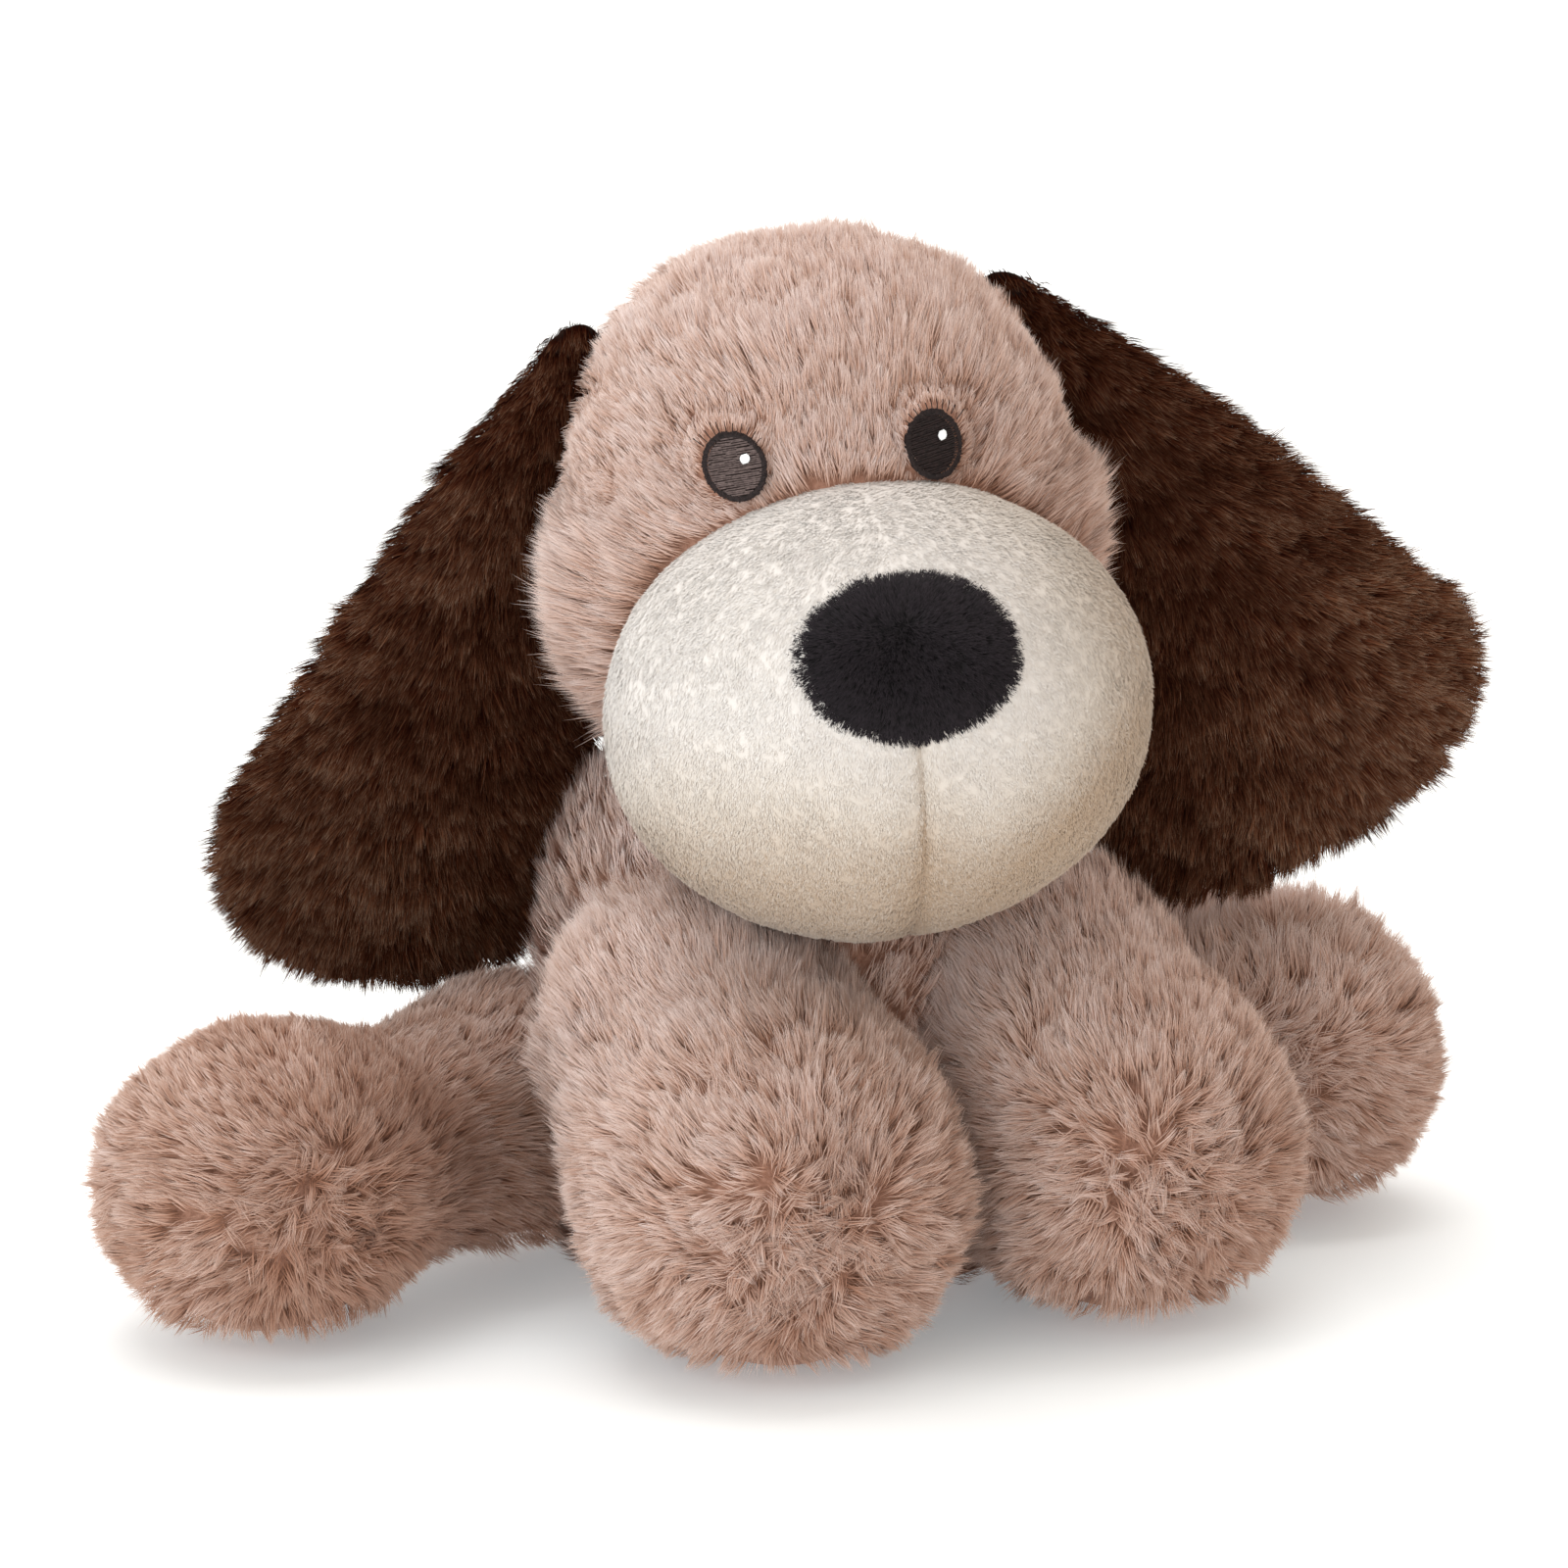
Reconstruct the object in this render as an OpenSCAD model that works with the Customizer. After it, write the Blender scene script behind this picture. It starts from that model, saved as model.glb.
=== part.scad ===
// Sitting plush dog with a big muzzle and long hanging ears.
// The dog looks along -Y, its left side is +X, and it sits on z = 0.
// Surfaces are those of the plush with its pile pressed half down.

/* [Fabric] */
// Thickness of the plush fabric with its pile
skin = 5; // [4:0.5:6]
// Thickness of the short-pile muzzle fabric
muzzle_skin = 2.5; // [2:0.5:3]
// Gap between pieces that move against each other
gap = 0.8; // [0.7:0.1:1]

/* [Body] */
// Largest radius of the body
body_r = 57; // [55:0.5:58]
// Radius of the flat seat
seat_r = 42; // [38:1:44]
// Height of the shoulders
body_top = 130; // [128:1:131]
// Height of the widest place of the body
belly_z = 42; // [38:1:46]

/* [Legs] */
// Radius of a front leg at the shoulder
fore_root_r = 34; // [32:0.5:34]
// Radius of the left front paw
fore_paw_r = 38; // [36:0.5:38]
// Radius of a back leg at the hip
hind_root_r = 31; // [29:0.5:31.5]
// Radius of a back paw
hind_paw_r = 35; // [34.5:0.5:36]
// How far the right back leg narrows between hip and paw
hind_waist = 7; // [1:0.5:8]
// Radius of the round panel in a paw's end
sole_r = 25; // [20:1:27]

/* [Head] */
// Largest radius of the head, at the cheeks
head_r = 57; // [55:0.5:58]
// Turn of the head towards the dog's right
head_turn = 15; // [12:1:18]
// Sideways tilt of the head
head_roll = 5.6; // [3:0.1:7]
// Radius of the muzzle seen from the side
muzzle_r = 47.5; // [45:0.5:48]
// Half the width of the muzzle
muzzle_half = 57; // [53:1:58]
// Width of the nose pad
nose_w = 47; // [42:1:50]
// Height of the nose pad
nose_h = 36; // [32:1:38]

/* [Ears] */
// Distance from an ear's root to the middle of its wide end
ear_len = 115; // [110:1:116]
// Radius of an ear's wide end
ear_end_r = 38; // [34:0.5:38.5]
// Thickness of an ear
ear_thick = 12; // [9:0.5:12]

/* [Hidden] */
$fn = 48;

far = 400;
side_left = 1;
side_right = -1;

// Limb centres: where each leg turns in the body, and the middle of its paw
fore_root = [38, -38, 62];
fore_root_lean = -2;
fore_paw_left = [43, -70, fore_paw_r - 1];
fore_paw_right_r = fore_paw_r + 2.5;
fore_paw_right = [-38, -70, fore_paw_right_r - 3];
hind_root = [56, 24, 38];
hind_root_rise = 4;
hind_waist_left = 1;
hind_paw_left = [116, -10, hind_paw_r - 0.7];
hind_paw_right = [-127, -10, hind_paw_r - 0.7];
// Room for the legs to swing, in degrees
fore_swing = 12;
hind_swing = 10;
fore_room_full_at = 0.8;

// Neck and head
neck = [0, 0, 124];
neck_r = 22;
nod = 6;
head_at = [-3, -16, 178];
cheek_z = -20;
head_up = 71;
head_down = 44;
dome_power = 2.5;
chin_power = 2.4;
shoulder_power = 3.2;
muzzle_at = [0, -52, -43];
nose_angle = 25;
nose_stand = 4;
eye_w = 13;
eye_h = 14.4;
eye_z = 10;
eye_x_left = 17;
eye_x_right = -24;
eye_border = 1.6;
thread = 1;
glint_r = 1.3;
ear_root = [49, 11, 23.5];
ear_root_r = 9;
ear_edge = 4;
ear_flare_left = 31.8;
ear_flare_right = 24.5;
ear_back_left = 6.5;
ear_back_right = 17;
ear_turn_left = 0;
ear_turn_right = -15;
ear_lift = 20;

// A smooth step from 0 to 1
function smooth(t) = t * t * (3 - 2 * t);

// Radius at share t of the way from a widest place to an end
function bulge(t, p) = sqrt(1 - pow(t, p));

// Share t for step i of n, closer together near the end
function easing(i, n) = sin(90 * i / n);

function limb_outline(len, root_r, paw_r, waist) = concat(
  [for (a = [-90 : 15 : 0]) [root_r * cos(a), root_r * sin(a)]],
  [for (i = [1 : 4]) [root_r + (paw_r - root_r) * smooth(i / 5) - waist * pow(sin(36 * i), 2), len * i / 5]],
  [for (a = [0 : 12.86 : 91]) [paw_r * cos(min(a, 90)), len + paw_r * sin(min(a, 90))]]);

function body_outline(grow) = concat(
  [[0, -grow], [seat_r, -grow]],
  [for (i = [1 : 6]) [seat_r + (body_r + grow - seat_r) * bulge(1 - easing(i, 6), 2),
    belly_z * easing(i, 6) - grow * (1 - easing(i, 6))]],
  [for (i = [1 : 12]) [(body_r + grow) * bulge(easing(i, 12), shoulder_power),
    belly_z + (body_top + grow - belly_z) * easing(i, 12)]]);

function head_outline(grow) = concat(
  [for (i = [10 : -1 : 1]) [(head_r + grow) * bulge(easing(i, 10), chin_power),
    cheek_z - (head_down + grow) * easing(i, 10)]],
  [for (i = [0 : 12]) [(head_r + grow) * bulge(easing(i, 12), dome_power),
    cheek_z + (head_up + grow) * easing(i, 12)]]);

function muzzle_outline(grow) =
  [for (a = [-90 : 10 : 90]) [(muzzle_r + grow) * cos(a), (muzzle_half + grow) * sin(a)]];

function ellipse_points(w, h) = [for (a = [0 : 9 : 351]) [w / 2 * cos(a), h / 2 * sin(a)]];

module above_floor() {
  intersection() {
    children();
    translate([-far, -far, 0])
      cube([2 * far, 2 * far, far]);
  }
}

// A leg as a solid, from its root to its paw; grow moves its surface out
module limb(root, paw, root_r, paw_r, waist, grow) {
  v = paw - root;
  translate(root)
    rotate([0, acos(v[2] / norm(v)), atan2(v[1], v[0])])
      rotate_extrude()
        polygon(limb_outline(norm(v), root_r + grow, paw_r + grow, waist));
}

// The space in front of a plane across a paw, facing along dir
module sole_space(paw, paw_r, dir) {
  translate(paw)
    rotate([0, acos(dir[2] / norm(dir)), atan2(dir[1], dir[0])])
      translate([0, 0, sqrt(paw_r * paw_r - sole_r * sole_r) + far / 2])
        cube(far, center = true);
}

function fore_root_of(side) = [side * fore_root[0] + fore_root_lean, fore_root[1], fore_root[2]];
function fore_paw_of(side) = side > 0 ? fore_paw_left : fore_paw_right;
function fore_paw_r_of(side) = side > 0 ? fore_paw_r : fore_paw_right_r;
function hind_root_of(side) = [side * hind_root[0], hind_root[1], hind_root[2] + side * hind_root_rise];
function hind_paw_of(side) = side > 0 ? hind_paw_left : hind_paw_right;
function hind_waist_of(side) = side > 0 ? hind_waist_left : hind_waist;
function fore_sole_dir(side) = side > 0 ? [-0.2, -1, 0.02] : [-0.17, -1, 0.05];
function hind_sole_dir(side) = side > 0 ? [0.1, -1, 0.04] : [0.06, -1, -0.04];

module foreleg(side, grow) {
  limb(fore_root_of(side), fore_paw_of(side), fore_root_r, fore_paw_r_of(side), 0, grow);
}

module hindleg(side, grow) {
  limb(hind_root_of(side), hind_paw_of(side), hind_root_r, hind_paw_r, hind_waist_of(side), grow);
}

module foreleg_skin(side) {
  above_floor()
    difference() {
      foreleg(side, 0);
      foreleg(side, -skin);
      sole_space(fore_paw_of(side), fore_paw_r_of(side), fore_sole_dir(side));
    }
}

module foreleg_sole(side) {
  above_floor()
    difference() {
      intersection() {
        foreleg(side, 0);
        sole_space(fore_paw_of(side), fore_paw_r_of(side), fore_sole_dir(side));
      }
      foreleg(side, -skin);
    }
}

module hindleg_skin(side) {
  above_floor()
    difference() {
      hindleg(side, 0);
      hindleg(side, -skin);
      sole_space(hind_paw_of(side), hind_paw_r, hind_sole_dir(side));
    }
}

module hindleg_sole(side) {
  above_floor()
    difference() {
      intersection() {
        hindleg(side, 0);
        sole_space(hind_paw_of(side), hind_paw_r, hind_sole_dir(side));
      }
      hindleg(side, -skin);
    }
}

// Everything a leg passes through as it swings by half an angle each way; full_at is the share of
// its length where the room is already as wide as the paw needs
module limb_room(root, paw, root_r, paw_r, half, lift, full_at) {
  v = paw - root;
  len = norm(v);
  wide = paw_r + gap + (len + paw_r * sin(half)) * tan(half);
  translate(root)
    rotate([-lift, 0, 0])
      rotate([0, acos(v[2] / len), atan2(v[1], v[0])])
        rotate_extrude()
          polygon(concat(
            [for (a = [-90 : 15 : 0]) [(root_r + gap) * cos(a), (root_r + gap) * sin(a)]],
            [[root_r + gap + root_r * sin(half) * tan(half), 0], [wide, full_at * len]],
            [[wide, len + 2 * paw_r], [0, len + 2 * paw_r]]));
}

module foreleg_room(side) {
  half = fore_swing / 2;
  paw_r = fore_paw_r_of(side);
  limb_room(fore_root_of(side), fore_paw_of(side), fore_root_r, paw_r, half, half, fore_room_full_at);
}

module hindleg_room(side) {
  limb_room(hind_root_of(side), hind_paw_of(side), hind_root_r, hind_paw_r, hind_swing, 0, 1);
}

module neck_room() {
  translate(neck)
    sphere(r = neck_r + gap);
}

module body_solid(grow) {
  rotate_extrude()
    polygon(body_outline(grow));
}

module body_rooms() {
  for (side = [side_right, side_left]) {
    foreleg_room(side);
    hindleg_room(side);
  }
  neck_room();
}

module in_head() {
  translate(head_at)
    rotate([0, 0, -head_turn])
      rotate([0, -head_roll, 0])
        children();
}

module head_solid(grow) {
  rotate_extrude()
    polygon(head_outline(grow));
}

module muzzle_solid(grow) {
  translate(muzzle_at)
    rotate([0, 90, 0])
      rotate_extrude()
        polygon(muzzle_outline(grow));
}

// Room for the shoulders while the head nods
module shoulder_room() {
  for (a = [0 : 3 : nod])
    translate(neck)
      rotate(a = -a, v = [-cos(head_turn), sin(head_turn), 0])
        translate(-neck)
          body_solid(gap);
}

// The muzzle sewn onto the face, clear of the chest below it
module muzzle_between(outer, inner) {
  difference() {
    in_head()
      difference() {
        muzzle_solid(outer);
        muzzle_solid(inner);
        head_solid(0);
      }
    body_solid(gap);
  }
}

// One side of the muzzle's centre seam
module muzzle_half_space(side) {
  in_head()
    translate([side * far / 2, 0, 0])
      cube(far, center = true);
}

module muzzle_panel(side) {
  intersection() {
    muzzle_between(0, -muzzle_skin);
    muzzle_half_space(side);
  }
}

// A prism along the gaze direction, for things sewn on the face
module face_prism(x, z, w, h) {
  translate([x, 0, z])
    rotate([90, 0, 0])
      linear_extrude(2 * head_r)
        polygon(ellipse_points(w, h));
}

module on_face(low, high) {
  in_head()
    intersection() {
      difference() {
        head_solid(high);
        head_solid(low);
      }
      children();
    }
}

module eye_fill(x) {
  on_face(0, thread)
    face_prism(x, eye_z, eye_w - 2 * eye_border, eye_h - 2 * eye_border);
}

module eye_outline(x) {
  on_face(0, thread)
    difference() {
      face_prism(x, eye_z, eye_w, eye_h);
      face_prism(x, eye_z, eye_w - 2 * eye_border, eye_h - 2 * eye_border);
    }
}

module eye_glint(x) {
  on_face(thread, 1.5 * thread)
    face_prism(x + eye_w * 0.2, eye_z + eye_h * 0.12, 2 * glint_r, 2 * glint_r);
}

module ear_root_frame(side) {
  flare = side > 0 ? ear_flare_left : ear_flare_right;
  back = side > 0 ? ear_back_left : ear_back_right;
  turn = side > 0 ? ear_turn_left : ear_turn_right;
  in_head()
    translate([side * ear_root[0], ear_root[1], ear_root[2]])
      rotate([0, -side * flare, 0])
        rotate([back, 0, 0])
          rotate([0, 0, side * turn])
            children();
}

// Lens-shaped disc lying across Y
module ear_end() {
  rotate([90, 0, 0])
    rotate_extrude($fn = 40)
      polygon([[0, -ear_thick / 2], [ear_end_r * 0.6, -ear_thick * 0.42], [ear_end_r, -ear_edge / 2],
        [ear_end_r, ear_edge / 2], [ear_end_r * 0.6, ear_thick * 0.42], [0, ear_thick / 2]]);
}

// Space the head takes up beside an ear as the ear lifts
module ear_room(side) {
  pivot = [side * ear_root[0], ear_root[1], ear_root[2]];
  for (lift = [0, ear_lift / 2, ear_lift])
    in_head()
      translate(pivot)
        rotate([0, side * lift, 0])
          translate(-pivot)
            head_solid(gap);
}

module ear_solid(side) {
  difference() {
    ear_root_frame(side)
      hull() {
        sphere(r = ear_root_r, $fn = 24);
        translate([0, 0, -ear_len])
          ear_end();
      }
    ear_room(side);
  }
}

// front is -1 for the face side of an ear and 1 for its back
module ear_panel(side, front) {
  intersection() {
    ear_solid(side);
    ear_root_frame(side)
      translate([0, front * far / 2, 0])
        cube(far, center = true);
  }
}

module body_skin() {
  color("rosybrown")
    difference() {
      body_solid(0);
      body_solid(-skin);
      body_rooms();
    }
}

module body_filling() {
  color("white")
    difference() {
      body_solid(-skin);
      body_rooms();
    }
}

module neck_filling() {
  color("white")
    translate(neck)
      sphere(r = neck_r);
}

module head_skin() {
  color("rosybrown")
    difference() {
      in_head()
        difference() {
          head_solid(0);
          head_solid(-skin);
        }
      shoulder_room();
      neck_room();
    }
}

module head_filling() {
  color("white")
    difference() {
      in_head()
        head_solid(-skin);
      shoulder_room();
      neck_room();
    }
}

module muzzle_panel_left() {
  color("antiquewhite")
    muzzle_panel(side_left);
}

module muzzle_panel_right() {
  color("antiquewhite")
    muzzle_panel(side_right);
}

module muzzle_filling() {
  color("white")
    difference() {
      in_head()
        difference() {
          muzzle_solid(-muzzle_skin);
          head_solid(0);
        }
      body_solid(gap);
    }
}

module nose_pad() {
  color("black")
    in_head()
      intersection() {
        difference() {
          muzzle_solid(nose_stand);
          muzzle_solid(0);
        }
        translate(muzzle_at)
          rotate([90 - nose_angle, 0, 0])
            linear_extrude(2 * muzzle_r)
              polygon(ellipse_points(nose_w, nose_h));
      }
}

module eye_left_fill() {
  color("dimgray")
    eye_fill(eye_x_left);
}

module eye_left_outline() {
  color("black")
    eye_outline(eye_x_left);
}

module eye_left_glint() {
  color("white")
    eye_glint(eye_x_left);
}

module eye_right_fill() {
  color("dimgray")
    eye_fill(eye_x_right);
}

module eye_right_outline() {
  color("black")
    eye_outline(eye_x_right);
}

module eye_right_glint() {
  color("white")
    eye_glint(eye_x_right);
}

module ear_left_front() {
  color("saddlebrown")
    ear_panel(side_left, -1);
}

module ear_left_back() {
  color("saddlebrown")
    ear_panel(side_left, 1);
}

module ear_right_front() {
  color("saddlebrown")
    ear_panel(side_right, -1);
}

module ear_right_back() {
  color("saddlebrown")
    ear_panel(side_right, 1);
}

module foreleg_left_skin() {
  color("rosybrown")
    foreleg_skin(side_left);
}

module foreleg_left_sole() {
  color("tan")
    foreleg_sole(side_left);
}

module foreleg_left_filling() {
  color("white")
    above_floor()
      foreleg(side_left, -skin);
}

module foreleg_right_skin() {
  color("rosybrown")
    foreleg_skin(side_right);
}

module foreleg_right_sole() {
  color("tan")
    foreleg_sole(side_right);
}

module foreleg_right_filling() {
  color("white")
    above_floor()
      foreleg(side_right, -skin);
}

module hindleg_left_skin() {
  color("rosybrown")
    hindleg_skin(side_left);
}

module hindleg_left_sole() {
  color("tan")
    hindleg_sole(side_left);
}

module hindleg_left_filling() {
  color("white")
    above_floor()
      hindleg(side_left, -skin);
}

module hindleg_right_skin() {
  color("rosybrown")
    hindleg_skin(side_right);
}

module hindleg_right_sole() {
  color("tan")
    hindleg_sole(side_right);
}

module hindleg_right_filling() {
  color("white")
    above_floor()
      hindleg(side_right, -skin);
}

body_skin();
body_filling();
neck_filling();
head_skin();
head_filling();
muzzle_panel_left();
muzzle_panel_right();
muzzle_filling();
nose_pad();
eye_left_fill();
eye_left_outline();
eye_left_glint();
eye_right_fill();
eye_right_outline();
eye_right_glint();
ear_left_front();
ear_left_back();
ear_right_front();
ear_right_back();
foreleg_left_skin();
foreleg_left_sole();
foreleg_left_filling();
foreleg_right_skin();
foreleg_right_sole();
foreleg_right_filling();
hindleg_left_skin();
hindleg_left_sole();
hindleg_left_filling();
hindleg_right_skin();
hindleg_right_sole();
hindleg_right_filling();
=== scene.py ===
import math

import bmesh
import bpy
import numpy as np
from mathutils import Matrix, Vector


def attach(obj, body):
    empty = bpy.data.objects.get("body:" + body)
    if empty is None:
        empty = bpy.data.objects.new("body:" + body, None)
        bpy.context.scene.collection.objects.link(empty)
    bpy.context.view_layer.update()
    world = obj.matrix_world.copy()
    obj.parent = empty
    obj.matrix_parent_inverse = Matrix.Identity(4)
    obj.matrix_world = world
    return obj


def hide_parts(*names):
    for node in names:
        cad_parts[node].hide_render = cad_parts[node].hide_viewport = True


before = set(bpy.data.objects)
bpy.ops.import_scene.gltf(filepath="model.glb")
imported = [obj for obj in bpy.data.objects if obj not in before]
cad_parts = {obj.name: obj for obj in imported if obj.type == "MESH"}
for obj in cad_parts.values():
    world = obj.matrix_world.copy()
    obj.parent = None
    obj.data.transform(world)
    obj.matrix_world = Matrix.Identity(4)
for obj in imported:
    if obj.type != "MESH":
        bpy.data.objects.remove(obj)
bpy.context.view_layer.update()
SEED = 11
rng = np.random.default_rng(SEED)
MM = 0.001
X, Y, Z = np.eye(3)


# ---------------------------------------------------------------- small maths
def unit(v):
    return v / np.maximum(np.linalg.norm(v, axis=-1, keepdims=True), 1e-9)


def rot(axis, deg):
    return np.array(Matrix.Rotation(math.radians(deg), 3, axis))


def lerp(a, b, t):
    return a + (b - a) * t


def step(a, b, x):
    t = np.clip((x - a) / (b - a), 0, 1)
    return t * t * (3 - 2 * t)


def bulge(t, p):
    return np.sqrt(np.clip(1 - np.clip(t, 0, 1) ** p, 0, 1))


def wave(p, scale, seed=0):
    """Smooth value from -1 to 1 that varies over about scale millimetres."""
    r = np.random.default_rng(seed)
    out = np.zeros(len(p))
    for _ in range(7):
        k = unit(r.normal(size=3)) * 2 * math.pi / (scale * r.uniform(0.7, 1.6))
        out += np.sin(p @ k + r.uniform(0, 6.28))
    return out / 3.2


# ---------------------------------------------------------------- solid shapes
class Turned:
    """A surface of revolution: radius(z, grow) about its own z axis."""

    def __init__(self, at, turn, radius, low, high):
        self.at, self.turn, self.radius = np.array(at, float), turn, radius
        self.low, self.high = low, high

    def local(self, p):
        return (p - self.at) @ self.turn

    def world(self, q):
        return q @ self.turn.T + self.at

    def depth(self, p, grow=0.0):
        """How far inside the surface a point is, roughly; negative outside."""
        q = self.local(p)
        z = q[:, 2]
        inside = np.minimum(z - (self.low - grow), (self.high + grow) - z)
        return np.minimum(self.radius(z, grow) - np.hypot(q[:, 0], q[:, 1]), inside)

    def grid(self, grow, nz, na):
        a = np.linspace(0, math.pi, nz)
        low, high = self.low - grow, self.high + grow
        z = (low + high) / 2 - (high - low) / 2 * np.cos(a)
        r = self.radius(z, grow)
        r[0] = r[-1] = 0
        w = np.linspace(0, 2 * math.pi, na, endpoint=False)
        q = np.stack(
            [
                np.outer(r, np.cos(w)),
                np.outer(r, np.sin(w)),
                np.repeat(z[:, None], na, 1),
            ],
            -1,
        )
        return q


HEAD_AT = np.array([-3.0, -16, 178])
HEAD_TURN = rot("Z", -15) @ rot("Y", -5.6)
MUZZLE_IN_HEAD = np.array([0.0, -52, -43])
MUZZLE_HALF, MUZZLE_R = 57.0, 47.5


def head_radius(z, g):
    up = (57 + g) * bulge((z + 20) / (71 + g), 2.5)
    down = (57 + g) * bulge((-20 - z) / (44 + g), 2.4)
    return np.where(z > -20, up, down)


def body_radius(z, g):
    low = 42 + (15 + g) * bulge(1 - np.clip(z, 0, 42) / 42, 2)
    up = (57 + g) * bulge((z - 42) / (88 + g), 3.2)
    return np.where(z > 42, up, low)


def muzzle_radius(z, g):
    return (MUZZLE_R + g) * bulge(np.abs(z) / (MUZZLE_HALF + g), 2)


def limb(root, paw, root_r, paw_r, waist):
    root, paw = np.array(root, float), np.array(paw, float)
    axis = paw - root
    length = np.linalg.norm(axis)
    axis /= length
    side = unit(np.cross(axis, Z))
    turn = np.stack([side, np.cross(axis, side), axis], 1)

    def radius(z, g):
        t = np.clip(z / length, 0, 1)
        mid = (
            root_r
            + g
            + (paw_r - root_r) * (t * t * (3 - 2 * t))
            - waist * np.sin(math.pi * t) ** 2
        )
        back = (root_r + g) * bulge(-z / (root_r + g), 2)
        front = (paw_r + g) * bulge((z - length) / (paw_r + g), 2)
        return np.where(z < 0, back, np.where(z > length, front, mid))

    shape = Turned(root, turn, radius, -root_r, length + paw_r)
    shape.paw, shape.axis, shape.length, shape.paw_r = paw, axis, length, paw_r
    return shape


HEAD = Turned(HEAD_AT, HEAD_TURN, head_radius, -64, 51)
MUZZLE = Turned(
    HEAD_AT + HEAD_TURN @ MUZZLE_IN_HEAD,
    HEAD_TURN @ rot("Y", 90),
    muzzle_radius,
    -MUZZLE_HALF,
    MUZZLE_HALF,
)
BODY = Turned([0, 0, 0], np.eye(3), body_radius, 0, 130)
LEGS = {
    "foreleg_left": limb([36, -38, 62], [43, -70, 37], 34, 38, 0),
    "foreleg_right": limb([-40, -38, 62], [-38, -70, 37.5], 34, 40.5, 0),
    "hindleg_left": limb([56, 24, 42], [116, -10, 34.3], 31, 35, 1),
    "hindleg_right": limb([-56, 24, 34], [-127, -10, 34.3], 31, 35, 7),
}
# Where the pile of each paw's end radiates from, as a direction from the paw's middle
SOLE = {
    "foreleg_left": unit(np.array([-0.28, -1, 0.05])),
    "foreleg_right": unit(np.array([-0.25, -1, -0.12])),
    "hindleg_left": unit(np.array([-0.55, -0.9, 0.10])),
    "hindleg_right": unit(np.array([0.05, -1, 0.0])),
}
SOLE_R = 25.0


def in_head(q):
    return q @ HEAD_TURN.T + HEAD_AT


def to_head(p):
    return (p - HEAD_AT) @ HEAD_TURN


# ---------------------------------------------------------------- meshes
def new_object(name, verts, faces, body, uvs=None, material=None, smooth=True):
    """verts in millimetres; faces is a list of index arrays of equal row length."""
    me = bpy.data.meshes.new(name)
    loops = np.concatenate([f.ravel() for f in faces]).astype(np.int32)
    totals = np.concatenate(
        [np.full(len(f), f.shape[1], np.int32) for f in faces]
    )
    starts = np.concatenate([[0], np.cumsum(totals)[:-1]]).astype(np.int32)
    me.vertices.add(len(verts))
    me.vertices.foreach_set("co", (verts * MM).astype(np.float32).ravel())
    me.loops.add(len(loops))
    me.loops.foreach_set("vertex_index", loops)
    me.polygons.add(len(totals))
    me.polygons.foreach_set("loop_start", starts)
    me.polygons.foreach_set("use_smooth", np.full(len(totals), smooth))
    me.update(calc_edges=True)
    if uvs is not None:
        layer = me.uv_layers.new(name="OFBake")
        layer.data.foreach_set("uv", uvs[loops].astype(np.float32).ravel())
    ob = bpy.data.objects.new(name, me)
    bpy.context.scene.collection.objects.link(ob)
    if material is not None:
        me.materials.append(material)
    if body:
        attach(ob, body)
    return ob


def grid_faces(nz, na, closed=True):
    i, j = np.meshgrid(np.arange(nz - 1), np.arange(na if closed else na - 1), indexing="ij")
    k = (j + 1) % na
    a, b, c, d = i * na + j, i * na + k, (i + 1) * na + k, (i + 1) * na + j
    return np.stack([a, b, c, d], -1).reshape(-1, 4)


def drop_empty(verts, quads):
    """Turns quads that meet a pole into triangles."""
    key = np.round(verts, 4)
    same_ab = np.all(key[quads[:, 0]] == key[quads[:, 1]], 1)
    same_cd = np.all(key[quads[:, 2]] == key[quads[:, 3]], 1)
    good = quads[~(same_ab | same_cd)]
    t1 = quads[same_ab & ~same_cd][:, [1, 2, 3]]
    t2 = quads[same_cd & ~same_ab][:, [0, 1, 2]]
    return [f for f in (good, t1, t2) if len(f)]


def weld(ob):
    bm = bmesh.new()
    bm.from_mesh(ob.data)
    bmesh.ops.remove_doubles(bm, verts=bm.verts, dist=2e-5)
    bmesh.ops.recalc_face_normals(bm, faces=bm.faces)
    bm.to_mesh(ob.data)
    bm.free()


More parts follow.
